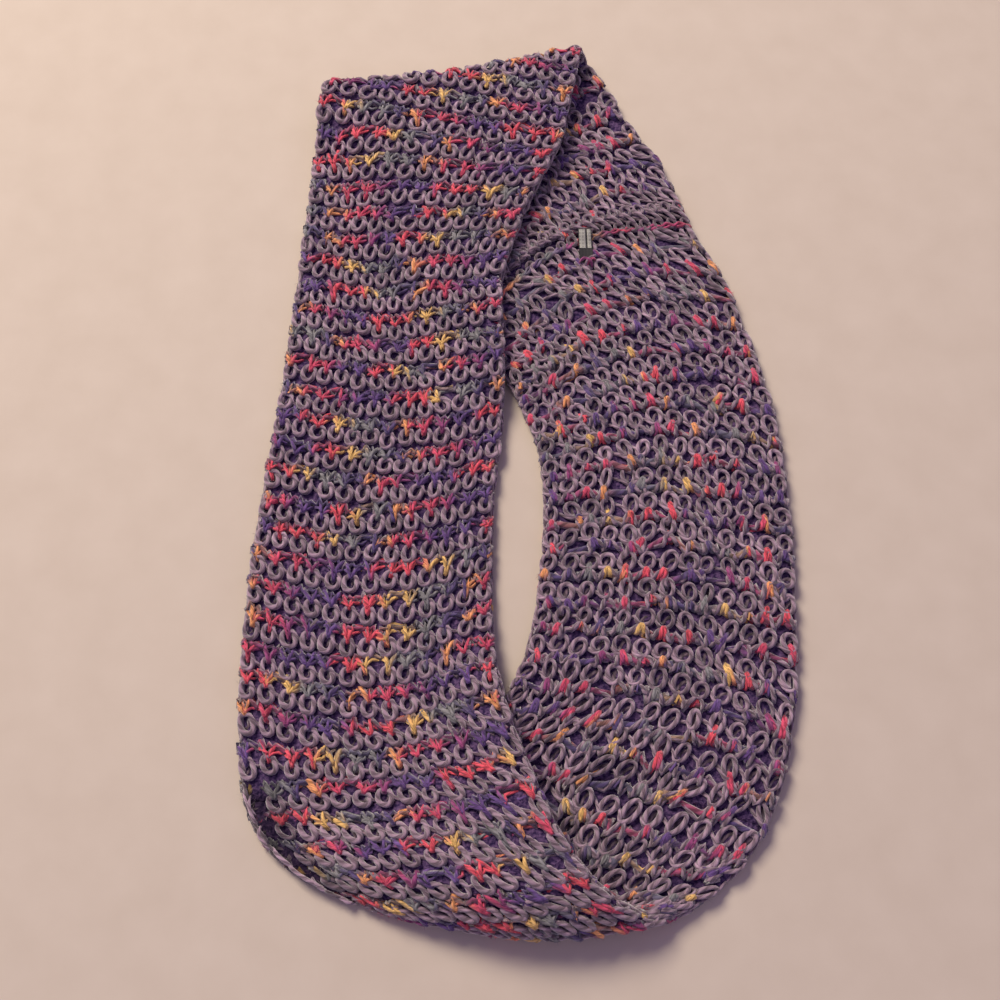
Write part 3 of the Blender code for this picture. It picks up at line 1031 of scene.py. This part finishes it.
def lip_strands(places):
    """Long slack strands that lie along the lip, painted pale as highlight and darker at their
    ends as shade.
    """
    t = np.linspace(-1, 1, LIP_POINTS)
    one = (len(places), 1)
    bow = 1 - t**2
    y = rng.uniform(8, 13, one) * t
    inset = rng.uniform(3.0, 7.0, one) - rng.uniform(1.0, 3.0, one) * bow
    inset = inset + rng.normal(0, 1, one) * LIP_SLANT * t
    height = rng.uniform(2.4, 3.6, one) + 1.2 * bow - 4.0 * t**4
    path = np.stack([y, inset / FULL_WIDTH, height], axis=2)
    points = seat(path, places + rng.normal(0, 2, len(places)), 1)
    radii = uneven(points, LIP_RADIUS) * (1 - 0.5 * t**4)
    # Painted highlight, darker at the ends as painted shade.
    lights = rng.uniform(1.25, 1.6, one) * (1 - 0.4 * t**4)
    return points, radii, tinted(lights, TAUPE), 6


def selvedge(stretch):
    places = rows_in(stretch)
    angle = np.linspace(0, 2 * np.pi, LOOP_POINTS)
    rims = [(0, place, part) for place, part in zip(places, near_lip(places))]
    rims += [(1, place, 0.0) for place in places]
    loops, tones = [], []
    for east, _, part in rims:
        length = LOOP_LENGTH * rng.uniform(0.9, 1.1)
        half_width = rng.uniform(1.5, 2.3) + 0.7 * part
        y = length * np.cos(angle) + rng.normal(0, 0.6)
        wide = half_width * np.sin(angle) + part * rng.normal(0, 0.22) * y
        inset = LOOP_INSET - 0.6 * part + wide * math.cos(LOOP_TILT)
        height = 0.8 + wide * math.sin(LOOP_TILT) * (1.6 - 0.6 * part) + 1.1 * np.cos(angle)
        fraction = 1 - inset / FULL_WIDTH if east else inset / FULL_WIDTH
        loops.append(np.stack([y, fraction, height + 0.5 * part], axis=1))
        # Random tone, and painted shadow on the lip.
        tones.append([rng.normal(0.95, 0.07) * (1 - 0.6 * part)])
    points = seat(np.array(loops), np.array([place for _, place, _ in rims]), 1)
    lights = np.repeat(np.array(tones), LOOP_POINTS, axis=1)
    thick = np.array([[1.3 - 0.25 * part] for _, _, part in rims])
    groups = [(points, uneven(points, 1.0) * thick, tinted(lights, TAUPE), 6)]
    starts = np.arange(stretch.start, stretch.end, LIP_STEP)
    starts = starts[near_lip(starts) > 0.6]
    if len(starts):
        groups.append(lip_strands(starts))
    yarn_piece(stretch.name, "selvedge", groups, bulky_wool)


for stretch in STRETCHES:
    selvedge(stretch)

# %% [markdown]
# ## The layer behind the stitches
#
# Deep in the cloth the strands cross from stitch to stitch, and the eye sees only darkness there.
# A thin closed sheet through the middle of each stretch stands for them, coloured dark purple as
# painted shade. Its painted shade is darkest in the hollow beside the lip.

# %% Core sheets
CORE_HALF = 1.9
CORE_RIM = 3.4
CORE_ACROSS = 25
CORE_STEP = 5.0
SEAM_GAP = 0.3
HOLLOW_PAINTED_SHADE = 0.7
HOLLOW_FROM, HOLLOW_FADE = 0.2, 0.08


def closed_sheet(name, rings, columns, material):
    """A thin closed slab. Each ring of points goes over it from rim to rim and back beneath."""
    count, around = rings.shape[:2]
    faces = skin(np.arange(count * around).reshape(count, around))
    for base, flip in ((0, True), ((count - 1) * around, False)):
        for j in range(columns - 1):
            a, b = base + j, base + j + 1
            c, d = base + around - 2 - j, base + around - 1 - j
            faces.append([d, c, b, a] if flip else [a, b, c, d])
    return add_piece(name, to_metres(rings.reshape(-1, 3)), faces, material)


def core_sheet(name, start, end):
    count = max(3, round((end - start) / CORE_STEP) + 1)
    places = np.linspace(start + SEAM_GAP / 2, end - SEAM_GAP / 2, count)
    inset = CORE_RIM / FULL_WIDTH
    fraction = np.broadcast_to(np.linspace(inset, 1 - inset, CORE_ACROSS), (count, CORE_ACROSS))
    place = np.broadcast_to(places[:, None], fraction.shape)
    outer = on_cloth(place, fraction, np.full(fraction.shape, CORE_HALF), 1)
    inner = on_cloth(place, 1 - fraction, np.full(fraction.shape, CORE_HALF), -1)
    rings = np.concatenate([outer, inner[:, ::-1]], axis=1)
    core = closed_sheet(f"{name}_core", rings, CORE_ACROSS, painted_shade_wool)
    # Painted shade, darkest in the hollow beside the lip.
    tones = np.ones((count, 2 * CORE_ACROSS, 4))
    hollow_shade = near_lip(places)[:, None] * smooth_step((HOLLOW_FROM - fraction) / HOLLOW_FADE)
    tones[:, :CORE_ACROSS, :3] = (1 - HOLLOW_PAINTED_SHADE * hollow_shade)[..., None]
    paint(core, tones)
    return core


for stretch in STRETCHES + [Stretch("end_seam", seam_start, seam_end)]:
    core_sheet(*stretch)
    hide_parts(stretch.name)

# %% [markdown]
# ## The seam
#
# The two ends of the strip were cast off tightly and sewn together, which leaves a ridge of small
# close stitches, then a groove with a last row in it, painted darker as shade, and one strand of
# the dyed yarn sewn along the groove's side. The stitch tables carry painted shade on their deep
# bends and painted highlight on their top.

# %% The seam's small stitches
SEAM_STITCHES = 20
SEAM_RADIUS = 1.35
SEAM_RISE = 3.0
BARE_FROM, BARE_TO = 0.28, 0.42
# The fourth column is painted lightness: painted shade on the deep bends, painted highlight on the
# top.
SMALL_RING = bends(
    (-2.6, -0.6, 1.6, 0.8), (0.2, -1.2, 1.8, 0.8), (1.6, 1.8, 3.0, 0.9), (2.8, 0.0, 4.2),
    (2.0, -3.2, 4.6), (-0.6, -4.0, 4.6), (-2.6, -1.8, 4.5), (-2.2, 1.8, 4.2),
    (0.6, 3.2, 4.2, 1.15), (3.8, 1.8, 3.4, 1.15),
)
LONG_STITCH = bends(
    (4.2, -6.4, 2.4, 0.9), (3.0, -4.6, 4.4, 1.1), (0.6, -0.6, 5.0, 1.25), (-2.0, 3.8, 4.4, 1.1),
    (-3.0, 5.6, 2.6, 0.9), (-1.2, 3.4, 1.2, 0.7),
)
SMALL_ROW, LONG_ROW, GROOVE_ROW = seam_start + 4.6, seam_start + 9.8, seam_end + 0.5
SEAM_TONE, GROOVE_PAINTED_SHADE = 0.8, 0.5
GROOVE_DEPTH = 1.6
TUCKED = 3.5


def seam_lift(share):
    """How much the ridge stands up, where no other stretch lies on it."""
    return SEAM_RISE * smooth_step((share - BARE_FROM) / (BARE_TO - BARE_FROM))


def part_length(share):
    """How long the long stitches are: short where the front stretch presses on them."""
    return 0.35 + 0.65 * smooth_step((share - 0.5) / 0.15)


def seam_row(table, place, face, length=np.ones_like, sunk=0.0, tone=SEAM_TONE):
    """One row of seam stitches. They may be sunk, with painted shade in the groove, and shorter in
    some places across the row.
    """
    table = np.tile(table, (SEAM_STITCHES, 1, 1))
    table[..., :2] *= rng.uniform(0.85, 1.15, (SEAM_STITCHES, 1, 1))
    centre = (np.arange(SEAM_STITCHES) + 0.5) / SEAM_STITCHES
    keep = length(centre if face > 0 else 1 - centre)[:, None]
    y = table[..., 1] * keep - (1 - keep) * TUCKED
    fraction = centre[:, None] + table[..., 0] / FULL_WIDTH
    control = np.stack([y, fraction, table[..., 2] - sunk, table[..., 3]], axis=-1)
    path = smooth_path(control.reshape(1, -1, 4), 2)
    points = seat(path, np.array([place]), face, seam_lift if face < 0 else None)
    return points, uneven(points, SEAM_RADIUS), tinted(path[..., 3] * tone, TAUPE), 6


for face in (1, -1):
    groups = [
        seam_row(SMALL_RING, SMALL_ROW, face),
        seam_row(LONG_STITCH, LONG_ROW, face, part_length),
        seam_row(SMALL_RING, GROOVE_ROW, face, sunk=GROOVE_DEPTH, tone=GROOVE_PAINTED_SHADE),
    ]
    yarn_piece("end_seam", f"stitches_{FACE_NAME[face]}", groups, bulky_wool)

# %% The sewn strand
SEWN_POINTS = 120
SEWN_TURN = 1.05
SEWN_ROW = seam_end + 1.5
SEWN_HEIGHT = 5.6
SEWN_RADIUS = 1.3
SEWN_DYES = ["b04a5c", "a8466a", "a8466a", "7c4a70", "c24a5e", "8a4a72", "c8a066", "a8466a",
             "6b4f7c", "777b78", "6b4f7c", "777b78", "cf8a60", "c24a5e", "b04a5c", "6b4f7c"]

where = np.linspace(0, 1, SEWN_POINTS)
turn = np.arange(SEWN_POINTS) * SEWN_TURN
knots = np.linspace(0, 1, len(SEWN_DYES))
colours = np.array([linear(code) for code in SEWN_DYES])
colours = np.stack([np.interp(where, knots, c) for c in colours.T], axis=-1)[None]
groups = []
for part, aside in enumerate((0.0, 1.5)):
    height = SEWN_HEIGHT + 0.6 * np.cos(turn + part) + 1.0 * np.sin(23 * where + part)
    path = np.stack([1.0 * np.sin(turn + 2 * part) + aside, 0.01 + 0.98 * where, height], axis=1)
    points = seat(path[None], np.array([SEWN_ROW]), -1)
    groups.append((points, uneven(points, SEWN_RADIUS, 0.2), colours, 5))
yarn_piece("end_seam", "sewn_strand", groups, thin_wool)

# %% [markdown]
# ## The label
#
# A narrow woven ribbon is sewn into the seam and hangs down from it. It carries no words here,
# only two plain bars, woven in pale thread. The ribbon is a thin slab that bends over the ribs,
# and three short lengths of yarn lie over its lower end.

# %% The ribbon's material
THREAD = 0.4
WAVES = 0.05
DARK_THREAD = 0.6


def woven(name, code, sheen):
    """A plain woven polyester ribbon: two crossing sets of threads as relief."""
    material, add = new_material(name)
    place = add("TexCoord").outputs["Object"]
    waves = {"Vector": place, "Scale": WAVES / (THREAD * MM), "Distortion": 0.6}
    warp, weft = (add("TexWave", waves, bands_direction=way).outputs["Fac"] for way in "XY")
    both = add("Math", {0: warp, 1: weft}, operation="MAXIMUM")
    light = linear(code)
    dark = [DARK_THREAD * part for part in light[:3]] + [1]
    shade = add("Mix", {0: both, 6: dark, 7: light}, data_type="RGBA").outputs[2]
    relief = add("Bump", {"Height": both, "Strength": 0.6, "Distance": THREAD / 2 * MM})
    shader = add(
        "BsdfPrincipled",
        {"Base Color": shade, "Roughness": 0.7, "Sheen Weight": sheen, "Normal": relief},
    )
    add("OutputMaterial", {"Surface": shader})
    return material


black_ribbon = woven("polyester taffeta ribbon, black", "17161a", sheen=0.1)
pale_thread = woven("polyester thread, pale", "cfd0c4", sheen=0.2)
print("Woven:", black_ribbon.name, "and", pale_thread.name)

# %% The ribbon
LABEL_X = 63.5
LABEL_WIDTH = 10.0
LABEL_THICK = 0.8
LABEL_BENDS = np.array([(213.0, 14.4), (209.0, 13.8), (201.0, 11.3), (184.0, 11.3)])
LABEL_TOP_Y = LABEL_BENDS[0, 0] - 1.5
LABEL_LENGTH = LABEL_TOP_Y - LABEL_BENDS[-1, 0]
LABEL_ABOVE = 1.0
LABEL_LEAN = 0.05
LABEL_WAVE, LABEL_WAVE_TURN = 0.35, 2.9
LABEL_CURL = 0.3
LABEL_COLUMNS = 9
LABEL_LINES = 25


def label_top(x, y):
    """The height of the label's upper face, x across it and y down it."""
    down, heights = LABEL_TOP_Y - LABEL_BENDS[:, 0], LABEL_BENDS[:, 1]
    under = sum(np.interp(y + step, down, heights) for step in (-2, 0, 2)) / 3
    wave = LABEL_WAVE * np.sin(y / LABEL_WAVE_TURN)
    return under + LABEL_ABOVE + wave + LABEL_CURL * (2 * x / LABEL_WIDTH) ** 2


def on_label(x, y, z):
    return np.stack([LABEL_X + x + LABEL_LEAN * y, LABEL_TOP_Y - y, z], axis=-1)


x, y = np.meshgrid(
    np.linspace(LABEL_WIDTH / 2, -LABEL_WIDTH / 2, LABEL_COLUMNS),
    np.linspace(0, LABEL_LENGTH, LABEL_LINES),
)
upper = on_label(x, y, label_top(x, y))
rings = np.concatenate([upper, upper[:, ::-1] - [0, 0, LABEL_THICK]], axis=1)
label = closed_sheet("label_ribbon", rings, LABEL_COLUMNS, black_ribbon)
label.data.set_sharp_from_angle(angle=math.radians(50))
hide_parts("label")
print("The label is", LABEL_WIDTH, "by", LABEL_LENGTH, "mm.")

# %% The label's pale bars
BARS = [(-4.4, 4.8), (1.6, 2.8)]
BAR_TOP = 0.8
BAR_LENGTH = 14.4
BAR_PITCH = 0.55
BAR_RADIUS = 0.26
BAR_STEPS = 5

paths = []
for left, wide in BARS:
    for line in range(int(BAR_LENGTH / BAR_PITCH)):
        x = np.linspace(left, left + wide, BAR_STEPS)
        y = np.full(BAR_STEPS, BAR_TOP + line * BAR_PITCH)
        crown = 0.12 * np.sin(np.linspace(0, np.pi, BAR_STEPS))
        paths.append(on_label(x, y, label_top(x, y) + crown))
paths = np.array(paths)
group = (paths, np.full(paths.shape[:2], BAR_RADIUS), np.ones(paths.shape[:2] + (4,)), 5)
yarn_piece("label", "bars", [group], pale_thread)

# %% The yarn that holds the label
HOLDING = np.array([
    [(4.2, 29, -3), (3.0, 27.0, 2.0), (-0.6, 24.6, 1.9), (-3.4, 25.4, 1.6), (-6.4, 27.6, -3)],
    [(8.2, 20, -3), (5.2, 22.2, 1.0), (2.0, 24.6, 2.2), (-0.4, 27.6, 1.0), (-1.2, 29.6, -3)],
    [(7.6, 24.6, -3), (4.6, 24.4, 1.4), (1.6, 26.6, 1.8), (0.2, 29.4, -2), (0.6, 31.0, -3)],
])
HOLDING_DYES = ["8c4472", "8b7583", "a8466a"]
HOLDING_RADIUS = 1.15

x, y, z = HOLDING[..., 0], HOLDING[..., 1], HOLDING[..., 2]
paths = np.stack(
    [LABEL_X + x + 1.2, LABEL_TOP_Y - y, label_top(x.clip(-5, 5), y) + z - 1.0], axis=-1
)
paths = smooth_path(paths, 4)
colours = np.repeat([[linear(code)] for code in HOLDING_DYES], paths.shape[1], axis=1)
group = (paths, uneven(paths, HOLDING_RADIUS), colours, 6)
yarn_piece("end_seam", "label_yarn", [group], thin_wool)

# %% [markdown]
# ## Loose fibres
#
# Wool is never smooth: short fibres stand out of it and blur its outline. Each is a fine closed
# needle with three sides, rooted in the yarn. Hair particles could do this, but needles are
# plain mesh, so they go wherever the model goes. They are drawn 0.26 mm thick, coarser than real
# fibres, so that they show.

# %% Loose fibres
NEEDLE_WIDTH = 0.26
ROOT_DEPTH = 0.2
# Which yarn, its material, needles for each point of its mesh, and the longest one in mm.
FIBRES = [
    ("rings", bulky_wool, 0.045, 3.6),
    ("dyed", thin_wool, 0.17, 3.6),
    ("selvedge", bulky_wool, 0.12, 4.5),
]


def read_all(items, field, size):
    """One field of all the items of a mesh, as rows of numbers."""
    values = np.empty(len(items) * size)
    items.foreach_get(field, values)
    return values.reshape(-1, size)


def loose_fibres(owner, kind, sources, count, material, longest):
    """Needles on the skin of the given yarn pieces, in the yarn's own colours."""
    meshes = [source.data for source in sources]
    roots = np.concatenate([read_all(mesh.vertices, "co", 3) for mesh in meshes])
    outs = np.concatenate([read_all(mesh.vertex_normals, "vector", 3) for mesh in meshes])
    tones = np.concatenate([read_all(mesh.attributes["tone"].data, "color", 4) for mesh in meshes])
    chosen = rng.choice(len(roots), count, replace=False)
    roots, outs, tones = roots[chosen], outs[chosen], tones[chosen]
    aim = unit(outs + rng.normal(0, 0.75, outs.shape))
    tips = roots + aim * (rng.uniform(0.35, 1.0, (count, 1)) * longest * MM)
    first = unit(np.cross(aim, rng.normal(0, 1, aim.shape)))
    second = np.cross(aim, first)
    base = roots - outs * ROOT_DEPTH * MM
    corners = [
        base + (math.cos(a) * first + math.sin(a) * second) * NEEDLE_WIDTH / 2 * MM
        for a in (0, 2 * math.pi / 3, 4 * math.pi / 3)
    ]
    points = np.stack(corners + [tips], axis=1).reshape(-1, 3)
    points[:, 2] = np.maximum(points[:, 2], FLOOR_GAP / 2 * MM)
    index = np.arange(count)[:, None] * 4
    faces = np.concatenate([index + f for f in ([0, 1, 3], [1, 2, 3], [2, 0, 3], [2, 1, 0])])
    piece = add_piece(f"{owner}_{kind}_fibres", points, faces.tolist(), material)
    paint(piece, np.repeat(tones, 4, axis=0))
    piece.data.uv_layers.new(name="yarn_map")
    cloth_pieces[owner].append(piece)


for stretch in STRETCHES:
    hidden = [FACE_NAME[face] for name, face in HIDDEN if name == stretch.name]
    for kind, material, share, longest in FIBRES:
        sources = [
            piece for piece in cloth_pieces[stretch.name]
            if kind in piece.name and not piece.name.endswith(tuple(hidden))
        ]
        count = int(share * sum(len(piece.data.vertices) for piece in sources))
        loose_fibres(stretch.name, kind, sources, count, material, longest)
print(len(triangles), "pieces together have", sum(triangles.values()), "triangles.")

for stretch in STRETCHES:
    cloth_pieces[stretch.name]
cloth_pieces["end_seam"]
cloth_pieces["label"]

# %% [markdown]
# ## Floor and light
#
# The floor is matt uncoated paper, pale, with the faintest grain. One large soft lamp stands far
# behind the scarf on the left and gives the stitches their shape. A wide weak one fills the
# shadows, and the room round them is pale at the horizon and dimmer above.

# %% Floor
FLOOR_SIZE = 40.0
GRAIN = 30.0

paper, add = new_material("uncoated paper, pale")
place = add("TexCoord").outputs["Object"]
grain = add("TexNoise", {"Vector": place, "Scale": 1 / (GRAIN * MM), "Detail": 4.0})
mixed = add("Mix", {0: grain, 6: linear("cdc1b0"), 7: linear("d8cdbd")}, data_type="RGBA")
shader = add(
    "BsdfPrincipled",
    {"Base Color": mixed.outputs[2], "Roughness": 0.9, "Specular IOR Level": 0.2},
)
add("OutputMaterial", {"Surface": shader})

half = FLOOR_SIZE / 2
corners = [(-half, -half, 0), (half, -half, 0), (half, half, 0), (-half, half, 0)]
floor = add_mesh("floor", corners, [(0, 1, 2, 3)], paper)
print("The floor is", FLOOR_SIZE, "m across.")

# %% Lights
Lamp = namedtuple("Lamp", "name place aim size power colour")
LAMPS = [
    Lamp("key", (-1.5, 1.9, 2.6), (-0.2, 0.6, 0.0), 1.4, 134.0, "fff1de"),
    Lamp("fill", (0.9, -0.8, 1.9), (0.0, 0.0, 0.0), 1.8, 1.3, "d8d0f0"),
]
for lamp in LAMPS:
    data = bpy.data.lights.new(lamp.name, "AREA")
    data.size = lamp.size
    data.energy = lamp.power
    data.color = linear(lamp.colour)[:3]
    look_at(add_object(lamp.name, data), lamp.place, lamp.aim)
print("Lamps:", [lamp.name for lamp in LAMPS])

# %% The room
ROOM_WALL = 0.35
ROOM_PALE, ROOM_DIM = "efe6e2", "a897c0"
ROOM_STRENGTH = 0.6

world = bpy.data.worlds.new("soft room")
bpy.context.scene.world = world
world.use_nodes = True
add = partial(add_node, world.node_tree)
parts = add("SeparateXYZ", {"Vector": add("TexCoord").outputs["Generated"]})
height = add("MapRange", {"Value": parts.outputs["Z"], "From Max": ROOM_WALL})
mixed = add("Mix", {0: height, 6: linear(ROOM_PALE), 7: linear(ROOM_DIM)}, data_type="RGBA")
background = world.node_tree.nodes["Background"]
world.node_tree.links.new(mixed.outputs[2], background.inputs["Color"])
background.inputs["Strength"].default_value = ROOM_STRENGTH
bpy.context.scene.view_settings.view_transform = "Standard"
print("The room is", ROOM_PALE, "at the horizon and", ROOM_DIM, "above.")
